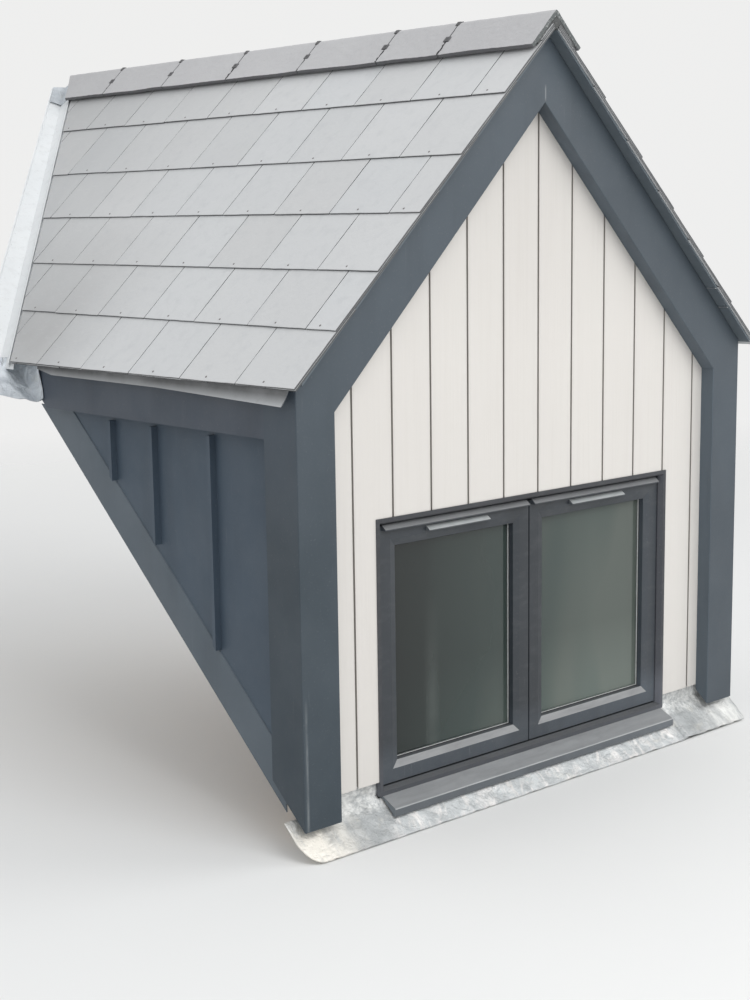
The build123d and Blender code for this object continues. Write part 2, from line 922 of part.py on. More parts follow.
def window_sill():
    nose = frame_y - sill_reach
    nose_top = window_bottom - sill_fall
    nose_back = nose + sill_nose_depth
    profile = [
        (frame_y, window_bottom),
        (nose, nose_top),
        (nose, nose_top - sill_nose),
        (nose_back, nose_top - sill_nose),
        (nose_back, nose_top - sill_nose_depth),
        (frame_y, window_bottom - sill_thickness),
        (frame_back, window_bottom - sill_thickness),
        (frame_back, window_bottom),
    ]
    sill = across(profile, sill_inset - window_half, window_half - sill_inset)
    nose_edges = sill.edges().filter_by(Axis.X).group_by(Axis.Y)[0]
    return fillet(nose_edges.sort_by(Axis.Z)[-1], sill_rounding)


os.makedirs("parts", exist_ok=True)


def save(name, shape):
    export_step(shape, f"parts/{name}.step")


single_pieces = [
    front_sole,
    side_soles,
    lay_boards,
    front_studs,
    window_lintel,
    raking_plates,
    front_sheathing,
    cheek_studs,
    wall_plates,
    cheek_sheathing,
    ridge_board,
    deck_boards,
    front_boarding,
    verge_undercloaks,
    eaves_soffits,
    eaves_trays,
    cheek_flashings,
    ridge_tiles,
    ridge_bedding,
    ridge_saddle,
    valley_saddles,
    front_apron,
    window_frame,
    window_sill,
    window_handles,
    drip_bars,
    trickle_vents,
    glass_units,
]
left_pieces = [
    left_rafters,
    left_post,
    left_bargeboard,
    left_fascia,
    left_cheek_cladding,
    left_slates,
    left_valley,
    left_sash,
]
for make in single_pieces:
    save(make.__name__, make())
for make in left_pieces:
    piece = make()
    save(make.__name__, piece)
    save(make.__name__.replace("left", "right"), mirrored(piece))
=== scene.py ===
import math
import random

import bmesh
import bpy
from mathutils import Matrix, Vector, noise


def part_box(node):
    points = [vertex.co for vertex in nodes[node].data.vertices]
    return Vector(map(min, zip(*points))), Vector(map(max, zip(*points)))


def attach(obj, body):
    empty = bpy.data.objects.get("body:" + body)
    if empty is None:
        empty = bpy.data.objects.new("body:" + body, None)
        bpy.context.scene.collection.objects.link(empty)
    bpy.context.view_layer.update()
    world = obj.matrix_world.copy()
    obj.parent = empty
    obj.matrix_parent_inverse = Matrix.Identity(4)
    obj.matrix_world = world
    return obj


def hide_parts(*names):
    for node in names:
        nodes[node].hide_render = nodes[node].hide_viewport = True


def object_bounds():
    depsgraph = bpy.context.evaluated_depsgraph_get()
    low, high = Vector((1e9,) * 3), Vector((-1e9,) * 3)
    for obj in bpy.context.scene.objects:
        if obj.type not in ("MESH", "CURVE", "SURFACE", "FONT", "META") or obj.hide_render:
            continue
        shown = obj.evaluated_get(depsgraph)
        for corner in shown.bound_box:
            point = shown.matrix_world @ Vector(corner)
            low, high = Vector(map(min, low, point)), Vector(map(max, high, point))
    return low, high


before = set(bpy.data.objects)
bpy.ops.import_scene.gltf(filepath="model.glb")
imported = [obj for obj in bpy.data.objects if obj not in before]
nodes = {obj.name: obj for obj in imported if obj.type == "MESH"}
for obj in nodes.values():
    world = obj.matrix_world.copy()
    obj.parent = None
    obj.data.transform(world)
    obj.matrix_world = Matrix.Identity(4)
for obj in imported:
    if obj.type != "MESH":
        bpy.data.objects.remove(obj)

scene = bpy.context.scene
cad_low, cad_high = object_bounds()
noise.seed_set(7)  # the noise vectors would differ from run to run without a seed

# Pitches and planes that the pieces are placed by, in radians and metres
main_pitch = math.radians(40.5)
main_rise = math.tan(main_pitch)
dormer_pitch = math.radians(44.85)
rise = math.tan(dormer_pitch)
slope_cos = math.cos(dormer_pitch)
slope_sin = math.sin(dormer_pitch)
cover_height = 0.065
front_face = -0.128
boarding_face = -0.081
board_pitch = 0.1428
board_shift = 0.0235
eaves_x = 0.962
deck_depth = 0.017
valley_gap = 0.045
eaves_z = front_face * main_rise + cover_height + 1.211
apex_z = eaves_z + eaves_x * rise
verge_y = -0.171


def slope_z(x, depth=0.0):
    """Height of the dormer's slopes at a distance from the middle, depth below their face."""
    return apex_z - abs(x) * rise - depth / slope_cos


# Materials
far_apart = 20.0  # pitch that leaves only one line on the dormer


class Paint:
    """A procedural material: a shader whose colour, roughness and bump are layered from textures."""

    def __init__(self, name, color, roughness, **constants):
        self.material = bpy.data.materials.new(name)
        self.material.use_nodes = True
        self.tree = self.material.node_tree
        self.shader = self.tree.nodes["Principled BSDF"]
        for socket, value in constants.items():
            self.shader.inputs[socket.replace("_", " ")].default_value = value
        self.place = self.tree.nodes.new("ShaderNodeTexCoord").outputs["Object"]
        self.color = self.rgb(color)
        self.rough = roughness
        self.normal = None

    def rgb(self, color):
        node = self.tree.nodes.new("ShaderNodeRGB")
        node.outputs[0].default_value = (*color[:3], 1)
        return node.outputs[0]

    def feed(self, socket, value):
        """Links another socket in, or sets the plain number or vector."""
        if isinstance(value, bpy.types.NodeSocket):
            self.tree.links.new(value, socket)
        else:
            socket.default_value = value

    def set(self, node, **inputs):
        for name, value in inputs.items():
            self.feed(node.inputs[name.replace("_", " ")], value)

    def stretched(self, scale, offset=(0, 0, 0), turn=(0, 0, 0)):
        node = self.tree.nodes.new("ShaderNodeMapping")
        self.set(node, Vector=self.place, Scale=scale, Location=offset, Rotation=turn)
        return node.outputs[0]

    def ranged(self, source, low, high):
        """From 0 where the source is low to 1 where it is high."""
        node = self.tree.nodes.new("ShaderNodeMapRange")
        self.set(node, Value=source, From_Min=low, From_Max=high)
        return node.outputs[0]

    def part(self, vector, axis):
        node = self.tree.nodes.new("ShaderNodeSeparateXYZ")
        self.set(node, Vector=vector)
        return node.outputs[axis]

    def noise(
        self, scale, low=0.35, high=0.65, detail=6.0, rough=0.6, twist=0.0,
        turn=(0, 0, 0), offset=(0, 0, 0),
    ):
        """Cloudy noise; a scale of three numbers stretches it along the axes with low ones."""
        scale = (scale,) * 3 if isinstance(scale, (int, float)) else scale
        place = self.stretched(scale, offset, turn)
        node = self.tree.nodes.new("ShaderNodeTexNoise")
        self.set(node, Vector=place, Scale=1.0, Detail=detail, Roughness=rough, Distortion=twist)
        return self.ranged(node.outputs["Fac"], low, high)

    def spots(self, scale, low, high):
        """Round spots around scattered points."""
        node = self.tree.nodes.new("ShaderNodeTexVoronoi")
        node.feature = "F1"
        self.set(node, Vector=self.stretched((scale,) * 3), Scale=1.0)
        return self.ranged(node.outputs["Distance"], low, high)

    def along(self, axis, low, high):
        """Runs with the place along an axis."""
        return self.ranged(self.part(self.place, axis), low, high)

    def facing(self, axis, low, high):
        """Runs with how far the surface faces along an axis."""
        geometry = self.tree.nodes.new("ShaderNodeNewGeometry")
        return self.ranged(self.part(geometry.outputs["Normal"], axis), low, high)

    def outward(self, low, high):
        """Runs with the distance from the middle plane of the dormer."""
        across = self.math("ABSOLUTE", self.part(self.place, "X"), 0.0)
        return self.ranged(across, low, high)

    def near(self, axis, place, wide, narrow, pitch=far_apart):
        """High close to evenly spaced lines across an axis: 1 within narrow of a line, 0 beyond wide."""
        moved = self.math("SUBTRACT", self.part(self.place, axis), place)
        return self.ranged(self.math("PINGPONG", moved, pitch / 2), wide, narrow)

    def attribute(self, name):
        node = self.tree.nodes.new("ShaderNodeAttribute")
        node.attribute_name = name
        return node.outputs["Fac"]

    def math(self, operation, a, b):
        node = self.tree.nodes.new("ShaderNodeMath")
        node.operation = operation
        self.feed(node.inputs[0], a)
        self.feed(node.inputs[1], b)
        return node.outputs[0]

    def times(self, a, b):
        return self.math("MULTIPLY", a, b)

    def tint(self, factor, color, amount=1.0):
        """Mixes a colour in where the factor is high."""
        node = self.tree.nodes.new("ShaderNodeMix")
        node.data_type = "RGBA"
        factor = self.times(factor, amount) if amount != 1.0 else factor
        self.feed(node.inputs[0], factor)
        self.feed(node.inputs[6], self.color)
        self.feed(node.inputs[7], (*color[:3], 1))
        self.color = node.outputs[2]

    def shade(self, factor, low, high):
        """Multiplies the colour by a value that runs from low to high with the factor."""
        node = self.tree.nodes.new("ShaderNodeMapRange")
        self.set(node, Value=factor, To_Min=low, To_Max=high)
        scaled = self.tree.nodes.new("ShaderNodeVectorMath")
        scaled.operation = "SCALE"
        self.feed(scaled.inputs[0], self.color)
        self.feed(scaled.inputs["Scale"], node.outputs[0])
        self.color = scaled.outputs[0]

    def polish(self, factor, amount):
        """Adds amount to the roughness where the factor is high."""
        self.rough = self.math("ADD", self.rough, self.times(factor, amount))

    def bump(self, height, distance, strength):
        """Adds a bump whose height is at most distance, in metres, over the ones before."""
        node = self.tree.nodes.new("ShaderNodeBump")
        self.set(node, Height=height, Distance=distance, Strength=strength)
        if self.normal is not None:
            self.feed(node.inputs["Normal"], self.normal)
        self.normal = node.outputs[0]

    def done(self):
        self.set(self.shader, Base_Color=self.color, Roughness=self.rough)
        if self.normal is not None:
            self.feed(self.shader.inputs["Normal"], self.normal)
        return self.material


def slate_paint():
    paint = Paint("slate", (0.590, 0.600, 0.608), 0.48, Specular_IOR_Level=0.5)
    paint.shade(paint.attribute("tone"), 0.93, 1.05)
    # Painted shade and reflection: the slates are paler to the front, darker towards the back and darker
    # still low down at the back.
    paint.shade(paint.along("Y", 1.0, 2.2), 1.11, 0.78)
    paint.shade(paint.times(paint.along("Y", 0.72, 1.15), paint.along("Z", 1.60, 1.25)), 1.0, 0.66)
    paint.tint(paint.attribute("warm"), (0.62, 0.605, 0.59), 0.25)
    paint.tint(paint.noise(3.0, 0.42, 0.7), (0.68, 0.69, 0.69), 0.22)
    paint.tint(paint.noise(24.0, 0.5, 0.75), (0.47, 0.485, 0.50), 0.3)
    paint.tint(paint.noise((90, 25, 90), 0.55, 0.8), (0.72, 0.72, 0.72), 0.25)
    # Painted shade: the rims marked in the edge layer go near-black.
    paint.tint(paint.attribute("edge"), (0.035, 0.037, 0.04), 0.92)
    paint.polish(paint.noise(8.0), 0.12)
    paint.bump(paint.noise((60, 60, 60), 0.3, 0.7), 0.0012, 0.35)
    paint.bump(paint.noise(420.0, 0.3, 0.7, detail=3.0), 0.0003, 0.4)
    return paint.done()


def ridge_paint():
    paint = Paint("ridge_tile", (0.52, 0.516, 0.525), 0.74)
    paint.tint(paint.noise(5.0, 0.4, 0.65), (0.56, 0.558, 0.562), 0.6)
    # Painted shade: the ridge is paler in its middle and darker at its front and back.
    paint.shade(paint.along("Y", 0.0, 0.9), 0.96, 1.08)
    paint.shade(paint.along("Y", 1.4, 2.2), 1.0, 0.93)
    paint.tint(paint.noise(160.0, 0.5, 0.72, detail=3.0), (0.66, 0.655, 0.66), 0.2)
    paint.tint(paint.noise(200.0, 0.55, 0.7, detail=2.0, offset=(3, 5, 7)), (0.38, 0.38, 0.39), 0.25)
    # Painted shade: faces that look down, under the wings, go dark.
    paint.tint(paint.facing("Z", -0.2, -0.6), (0.10, 0.10, 0.108), 0.9)
    smear(paint, paint.facing("Y", -0.35, -0.8))
    paint.bump(paint.noise(260.0, 0.3, 0.7, detail=4.0), 0.0010, 0.45)
    paint.bump(paint.noise(30.0, 0.3, 0.7), 0.002, 0.3)
    return paint.done()


def smear(paint, where):
    """Mortar with pale grit, dark partly as painted shade."""
    paint.tint(where, (0.085, 0.095, 0.095), 0.95)
    grit = paint.noise(150.0, 0.56, 0.66, detail=3.0, offset=(7, 1, 4))
    paint.tint(paint.times(where, grit), (0.34, 0.345, 0.34), 0.8)


def mortar_paint():
    # Mortar whose dark colour is partly painted shade under the ridge wings, with pale grit.
    paint = Paint("mortar", (0.10, 0.105, 0.105), 0.92)
    paint.tint(paint.noise(60.0, 0.4, 0.7), (0.16, 0.16, 0.155), 0.6)
    paint.tint(paint.noise(150.0, 0.6, 0.7, detail=3.0), (0.34, 0.345, 0.34), 0.7)
    paint.tint(paint.noise(9.0, 0.45, 0.7), (0.06, 0.06, 0.062), 0.5)
    paint.bump(paint.noise(180.0, 0.3, 0.7, detail=8.0), 0.003, 0.8)
    return paint.done()


def coated(name, color, roughness, under=None):
    """Smooth dark coating with faint clouds, runs, scratches and dust over what under() adds."""
    paint = Paint(name, color, roughness, Specular_IOR_Level=0.5)
    if under:
        under(paint)
    light = tuple(min(1.0, c * 1.35 + 0.01) for c in color)
    dark = tuple(c * 0.72 for c in color)
    paint.tint(paint.noise(2.2, 0.4, 0.7), light, 0.35)
    paint.tint(paint.noise((9, 9, 1.2), 0.5, 0.72), dark, 0.45)
    paint.tint(paint.noise((70, 70, 5), 0.66, 0.8, offset=(1, 2, 3)), (0.30, 0.32, 0.33), 0.16)
    paint.tint(paint.noise(190.0, 0.64, 0.74, detail=2.0), (0.34, 0.34, 0.33), 0.10)
    paint.polish(paint.noise(6.0), 0.14)
    paint.bump(paint.noise(1400.0, 0.3, 0.7, detail=2.0), 0.00012, 0.5)
    paint.bump(paint.noise((3.5, 3.5, 1.0), 0.3, 0.7, detail=2.0), 0.004, 0.12)
    return paint


def surround_painted_light(paint):
    """Painted light and shade: a bluer outer side and darker foot on the left post, a darker right half
    and paler reveals.
    """
    side = paint.times(paint.facing("X", -0.6, -0.9), paint.along("X", -0.85, -0.88))
    paint.tint(side, (0.055, 0.077, 0.109), 0.9)
    low = paint.times(paint.along("X", -0.72, -0.80), paint.along("Z", 1.35, 0.75))
    paint.tint(low, (0.028, 0.043, 0.056), 0.92)
    right_foot = paint.times(paint.along("X", 0.7, 0.8), paint.along("Z", 1.0, 0.3))
    paint.shade(right_foot, 1.0, 0.85)
    right_slope = paint.times(paint.along("X", 0.02, 0.15), paint.along("Z", 0.9, 1.3))
    paint.shade(right_slope, 1.0, 0.90)
    reveal = paint.times(paint.facing("X", -0.3, -0.6), paint.along("X", 0.0, 0.1))
    paint.shade(reveal, 1.0, 1.65)


def surround_paint():
    """Coating of the posts and bargeboards, with a worn arris and a painted highlight up the mitre at
    the apex.
    """
    paint = coated("surround", (0.0605, 0.0775, 0.0945), 0.42, surround_painted_light)
    worn = paint.times(paint.near("X", -0.902, 0.006, 0.001), paint.along("Z", 0.36, 0.30))
    paint.tint(paint.times(worn, paint.noise((40, 40, 9), 0.3, 0.6)), (0.24, 0.26, 0.27), 0.6)
    # Painted highlight: a thin pale line up the mitre where the bargeboards meet.
    mitre = paint.times(paint.near("X", 0.001, 0.0035, 0.001), paint.along("Z", 1.900, 1.912))
    paint.tint(paint.times(mitre, paint.along("Z", 1.950, 1.936)), (0.26, 0.27, 0.28), 0.7)
    return paint.done()


def window_paint(name, color, slope, ledge):
    """Smooth dark foil with painted light: paler on slopes and ledges, where a painted sky reflection
    lightens it.
    """
    paint = coated(name, color, 0.36)
    # Painted light and shade: paler low down and towards the right, darker in the middle, paler on faces
    # that look left.
    paint.shade(paint.along("Z", 0.16, 0.09), 1.0, 1.8)
    paint.shade(paint.outward(0.11, 0.07), 1.0, 0.84)
    paint.shade(paint.along("X", 0.30, 0.56), 1.0, 1.2)
    paint.shade(paint.facing("X", -0.2, -0.5), 1.0, 1.8)
    paint.tint(paint.facing("Z", 0.10, 0.24), slope)
    paint.tint(paint.facing("Z", 0.82, 0.95), ledge)
    # Darker streaks through the painted sky reflection on slopes and ledges.
    patchy_sheen = paint.times(paint.facing("Z", 0.1, 0.3), paint.noise((5, 30, 30), 0.4, 0.7))
    paint.shade(patchy_sheen, 1.0, 0.80)
    paint.tint(paint.noise((14, 14, 40), 0.5, 0.75), (0.11, 0.115, 0.12), 0.25)
    return paint.done()


def boarding_paint():
    paint = Paint("boarding", (0.71, 0.68, 0.645), 0.55)
    paint.tint(paint.noise((1.6, 1.6, 0.5), 0.4, 0.7), (0.75, 0.73, 0.69), 0.5)
    paint.tint(paint.noise((60, 60, 1.6), 0.5, 0.75, detail=8.0), (0.62, 0.585, 0.545), 0.22)
    paint.tint(paint.noise((5, 5, 3), 0.6, 0.8, offset=(4, 1, 2)), (0.60, 0.56, 0.51), 0.12)
    # Painted shade towards the top, under the bargeboards.
    paint.shade(paint.along("Z", 1.2, 1.9), 0.99, 0.86)
    edge = paint.near("X", board_shift, 0.012, 0.0035, board_pitch)
    paint.tint(paint.times(edge, paint.noise((30, 30, 4), 0.3, 0.8)), (0.45, 0.42, 0.38), 0.35)
    # Painted shade inside the grooves between the boards.
    groove_shade = paint.near("X", board_shift, 0.0045, 0.0030, board_pitch)
    inside = paint.along("Y", boarding_face + 0.0004, boarding_face + 0.0016)
    paint.tint(paint.times(groove_shade, inside), (0.20, 0.187, 0.17), 0.92)
    paint.polish(paint.noise(11.0), 0.12)
    paint.bump(paint.noise((160, 160, 3.0), 0.3, 0.7, detail=8.0), 0.0006, 0.35)
    paint.bump(paint.noise(500.0, 0.3, 0.7, detail=3.0), 0.0002, 0.4)
    return paint.done()


def lead_paint(name, color, pale):
    """Crumpled lead with painted glare that whitens both ends of the apron, whitish along its foot, with
    painted light and pale streaks under the sill.
    """
    paint = Paint(name, color, 0.36, Metallic=0.35)
    paint.tint(paint.noise(14.0, 0.4, 0.7, twist=0.6), pale, 0.75)
    paint.tint(paint.noise(26.0, 0.52, 0.75, twist=1.0), tuple(c * 0.6 for c in color), 0.55)
    paint.tint(paint.noise(22.0, 0.58, 0.75, offset=(5, 3, 1)), (0.66, 0.63, 0.56), 0.4)
    low = paint.along("Z", 0.3, 0.1)
    # Painted glare: warm white at the left end, grey-white at the right end.
    left = paint.times(paint.along("X", -0.70, -0.86), low)
    paint.tint(paint.times(left, paint.noise((26, 9, 9), 0.25, 0.56)), (0.97, 0.925, 0.84), 0.9)
    right = paint.times(paint.along("X", 0.70, 0.84), low)
    paint.tint(paint.times(right, paint.noise((30, 9, 9), 0.3, 0.6)), (0.90, 0.90, 0.87), 0.8)
    foot = paint.times(paint.along("Y", -0.108, -0.088), low)
    paint.tint(paint.times(foot, paint.noise(70.0, 0.35, 0.6)), (0.88, 0.88, 0.86), 0.7)
    # Painted light: under the sill the lead is made brighter.
    under_sill = paint.times(paint.outward(0.66, 0.58), low)
    paint.shade(under_sill, 1.0, 1.34)
    streaks = paint.noise((24, 15, 15), 0.48, 0.68, twist=1.2, offset=(2, 6, 1))
    paint.tint(paint.times(under_sill, streaks), (0.94, 0.90, 0.87), 0.7)
    paint.polish(paint.noise(30.0), 0.25)
    paint.bump(paint.noise(24.0, 0.3, 0.7, twist=0.8), 0.006, 0.5)
    paint.bump(paint.noise(60.0, 0.3, 0.7, twist=0.8), 0.003, 0.6)
    paint.bump(paint.noise(300.0, 0.3, 0.7, detail=3.0), 0.0004, 0.5)
    return paint.done()


def valley_paint():
    paint = Paint("valley_sheet", (0.82, 0.84, 0.85), 0.45)
    paint.tint(paint.noise((4, 9, 4), 0.4, 0.7), (0.88, 0.895, 0.90), 0.6)
    # Painted shade: darker lower down.
    paint.shade(paint.along("Z", 1.9, 1.2), 1.0, 0.92)
    paint.tint(paint.noise(30.0, 0.5, 0.75), (0.62, 0.63, 0.63), 0.35)
    paint.tint(paint.noise(120.0, 0.62, 0.74), (0.36, 0.35, 0.33), 0.35)
    paint.polish(paint.noise(16.0), 0.2)
    paint.bump(paint.noise(40.0, 0.3, 0.7), 0.001, 0.4)
    return paint.done()


def tray_paint():
    paint = Paint("eaves_felt", (0.30, 0.308, 0.315), 0.5)
    # Painted shade high up under the slates and painted light on the lower lip.
    paint.shade(paint.along("Z", 1.154, 1.128), 0.40, 1.65)
    paint.tint(paint.noise(7.0, 0.4, 0.7), (0.48, 0.49, 0.50), 0.3)
    paint.tint(paint.noise(60.0, 0.55, 0.75), (0.20, 0.20, 0.205), 0.25)
    # Painted shade on faces that look down and painted shadow on faces that look to the front.
    paint.tint(paint.facing("Z", -0.3, -0.7), (0.06, 0.065, 0.07), 0.9)
    paint.tint(paint.facing("Y", -0.5, -0.9), (0.10, 0.11, 0.12), 0.9)
    paint.polish(paint.noise(20.0), 0.15)
    paint.bump(paint.noise(70.0, 0.3, 0.7), 0.0008, 0.4)
    return paint.done()


def cement_paint():
    # Undercloak grey darkened to a blue-grey as painted shade under the verge.
    paint = Paint("undercloak", (0.115, 0.140, 0.160), 0.7)
    paint.tint(paint.noise(20.0, 0.4, 0.7), (0.15, 0.17, 0.19), 0.5)
    paint.bump(paint.noise(200.0, 0.3, 0.7), 0.0006, 0.5)
    return paint.done()


def timber_paint(name, long_axis, color=(0.60, 0.43, 0.26), turn=(0, 0, 0)):
    """Sawn softwood with its grain along one axis."""
    paint = Paint(name, color, 0.68)
    fine = [70.0, 70.0, 70.0]
    fine[long_axis] = 1.6
    broad = [14.0, 14.0, 14.0]
    broad[long_axis] = 0.7
    dark = tuple(c * 0.62 for c in color)
    pale = tuple(min(1.0, c * 1.22) for c in color)
    paint.tint(paint.noise(tuple(broad), 0.4, 0.65, turn=turn, twist=0.4), pale, 0.6)
    paint.tint(paint.noise(tuple(fine), 0.48, 0.72, detail=8.0, turn=turn), dark, 0.5)
    paint.tint(paint.spots(3.2, 0.03, 0.0), tuple(c * 0.3 for c in color), 0.8)
    paint.bump(paint.noise(tuple(fine), 0.3, 0.7, detail=8.0, turn=turn), 0.0008, 0.5)
    return paint.done()


def sheathing_paint():
    paint = Paint("sheathing", (0.52, 0.37, 0.22), 0.75)
    paint.tint(paint.noise((4, 4, 45), 0.45, 0.7, detail=8.0, twist=0.5), (0.36, 0.24, 0.135), 0.55)
    paint.tint(paint.noise(2.0, 0.4, 0.7), (0.60, 0.45, 0.29), 0.4)
    paint.bump(paint.noise((8, 8, 90), 0.3, 0.7, detail=8.0), 0.0006, 0.5)
    return paint.done()


def glass_paint():
    """Dark panes with a painted reflection that pales them to the right and low down, with a clear rim
    over the spacer.
    """
    paint = Paint("glass", (0.031, 0.045, 0.041), 0.03, Specular_IOR_Level=0.5)
    # Painted reflection: soft clouds, a paler right side, a step and a paler upright band in the left
    # pane, and a paler bottom.
    clouds = paint.noise((2.6, 2.6, 0.7), 0.45, 0.6, detail=1.5, offset=(0.3, 0, 0))
    paint.tint(clouds, (0.062, 0.070, 0.061), 0.7)
    paint.shade(paint.along("X", -0.56, 0.30), 0.30, 1.62)
    paint.shade(paint.along("X", -0.395, -0.350), 0.86, 1.14)
    reflection_band = paint.times(paint.near("X", -0.372, 0.034, 0.006), paint.along("Z", 0.56, 0.36))
    paint.tint(paint.times(reflection_band, paint.noise((3, 3, 5), 0.2, 0.7)), (0.085, 0.10, 0.094), 0.5)
    paint.shade(paint.along("Z", 0.34, 0.10), 0.94, 1.5)
    paint.polish(paint.noise(5.0), 0.05)
    alpha = paint.math("SUBTRACT", 0.94, paint.times(paint.attribute("rim"), 0.74))
    paint.set(paint.shader, Alpha=alpha)
    return paint.done()


def plain_paint(name, color, roughness, metallic=0.0):
    paint = Paint(name, color, roughness, Metallic=metallic)
    paint.tint(paint.noise(40.0, 0.45, 0.7), tuple(c * 0.75 for c in color), 0.4)
    paint.polish(paint.noise(60.0), 0.12)
    paint.bump(paint.noise(600.0, 0.3, 0.7, detail=3.0), 0.0002, 0.4)
    return paint.done()


def gasket_paint():
    """Black rubber whose inner edges catch the light to the right of and below a pane."""
    paint = Paint("gasket", (0.02, 0.02, 0.02), 0.6)
    # Painted highlight: the inner faces that look left and up go near-white.
    paint.tint(paint.facing("X", -0.5, -0.9), (0.86, 0.88, 0.87), 0.95)
    paint.tint(paint.facing("Z", 0.5, 0.9), (0.86, 0.88, 0.87), 0.95)
    paint.tint(paint.noise(90.0, 0.5, 0.7), (0.08, 0.08, 0.08), 0.3)
    paint.bump(paint.noise(600.0, 0.3, 0.7, detail=3.0), 0.0002, 0.4)
    return paint.done()


slate = slate_paint()
ridge_tile = ridge_paint()
mortar = mortar_paint()
surround = surround_paint()
# The fascias and soffits get a darker, bluer copy of the surround's coating: painted shade under the
# eaves.
fascia = coated("fascia", (0.051, 0.066, 0.089), 0.42).done()
cheek = coated("cheek_sheet", (0.060, 0.0855, 0.116), 0.5).done()
flashing = coated("cheek_flashing", (0.094, 0.120, 0.145), 0.45).done()
# Each copy's slope and ledge colours are painted sky light.
window_profile = window_paint(
    "window_profile", (0.0295, 0.0355, 0.043),
    slope=(0.30, 0.305, 0.31), ledge=(0.085, 0.09, 0.098),
)
# The frame has its own copy of the foil, a little paler than the sashes', as painted light.
frame_profile = window_paint(
    "window_frame", (0.034, 0.036, 0.042),
    slope=(0.12, 0.125, 0.13), ledge=(0.060, 0.064, 0.070),
)
sill_profile = window_paint(
    "window_sill", (0.056, 0.063, 0.070),
    slope=(0.40, 0.41, 0.415), ledge=(0.225, 0.232, 0.24),
)
vent_profile = window_paint(
    "trickle_vent", (0.075, 0.082, 0.09),
    slope=(0.42, 0.44, 0.44), ledge=(0.42, 0.44, 0.44),
)
drip_profile = window_paint(
    "drip_bar", (0.045, 0.051, 0.06),
    slope=(0.20, 0.205, 0.21), ledge=(0.20, 0.205, 0.21),
)
boarding = boarding_paint()
lead = lead_paint("lead", (0.37, 0.385, 0.39), (0.53, 0.55, 0.555))
# The saddles get a paler, bluer copy of the lead: painted light.
paler_saddle_lead = lead_paint("saddle_lead", (0.56, 0.60, 0.64), (0.82, 0.86, 0.90))
valley = valley_paint()
tray = tray_paint()
shaded_cement = cement_paint()
timber_x = timber_paint("timber_across", 0)
timber_y = timber_paint("timber_along", 1)
timber_z = timber_paint("timber_upright", 2, (0.63, 0.46, 0.28))
timber_left = timber_paint("timber_left_slope", 0, (0.58, 0.41, 0.25), (0, dormer_pitch, 0))
timber_right = timber_paint("timber_right_slope", 0, (0.58, 0.41, 0.25), (0, -dormer_pitch, 0))
timber_main = timber_paint("timber_main_slope", 1, (0.55, 0.40, 0.24), (-main_pitch, 0, 0))
sheathing = sheathing_paint()
glass = glass_paint()
spacer = plain_paint("spacer", (0.55, 0.56, 0.56), 0.45, 0.6)
gasket = gasket_paint()
seal = plain_paint("joint_seal", (0.045, 0.045, 0.048), 0.8)
handle_metal = plain_paint("handle", (0.70, 0.70, 0.70), 0.3, 0.9)
clamp_metal = plain_paint("clamp", (0.13, 0.13, 0.135), 0.45, 0.6)
rivet_metal = plain_paint("rivet", (0.20, 0.19, 0.185), 0.5, 0.3)

node_paints = {
    "front_sole": timber_x,
    "side_soles": timber_main,
    "lay_boards": timber_main,
    "front_studs": timber_z,
    "window_lintel": timber_x,
    "raking_plates": timber_x,
    "cheek_studs": timber_z,
    "wall_plates": timber_y,
    "ridge_board": timber_y,
    "left_rafters": timber_left,
    "right_rafters": timber_right,
    "front_sheathing": sheathing,
    "cheek_sheathing": sheathing,
    "deck_boards": sheathing,
    "front_boarding": boarding,
    "left_post": surround,
    "right_post": surround,
    "left_bargeboard": surround,
    "right_bargeboard": surround,
    "left_fascia": fascia,
    "right_fascia": fascia,
    "eaves_soffits": fascia,
    "left_cheek_cladding": cheek,
    "right_cheek_cladding": cheek,
    "cheek_flashings": flashing,
    "verge_undercloaks": shaded_cement,
    "eaves_trays": tray,
    "left_slates": slate,
    "right_slates": slate,
    "ridge_tiles": ridge_tile,
    "ridge_bedding": mortar,
    "left_valley": valley,
    "right_valley": valley,
    "valley_saddles": paler_saddle_lead,
    "ridge_saddle": paler_saddle_lead,
    "front_apron": lead,
    "left_sash": window_profile,
    "right_sash": window_profile,
    "window_frame": frame_profile,
    "window_sill": sill_profile,
    "drip_bars": drip_profile,
    "trickle_vents": vent_profile,
    "window_handles": handle_metal,
    "glass_units": glass,
}
for name, paint in node_paints.items():
    materials = nodes[name].data.materials
    materials.clear()
    materials.append(paint)


# Making pieces
def piece(name, mesh, paint, stands_for=()):
    """Adds a mesh to the scene as a piece of the object that rides with it."""
    thing = bpy.data.objects.new(name, mesh)
    scene.collection.objects.link(thing)
    mesh.materials.clear()
    mesh.materials.append(paint)
    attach(thing, "root")
    if stands_for:
        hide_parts(*stands_for)


def mesh_of(name, build):
    """Mesh of what build(form) puts into an empty form, with its normals turned outward."""
    form = bmesh.new()
    build(form)
    bmesh.ops.recalc_face_normals(form, faces=form.faces)
    mesh = bpy.data.meshes.new(name)
    form.to_mesh(mesh)
    form.free()
    return mesh


def kept_inside(point):
    """Point moved back into the box of the CAD model."""
    return Vector([min(max(value, low), high) for value, low, high in zip(point, cad_low, cad_high)])


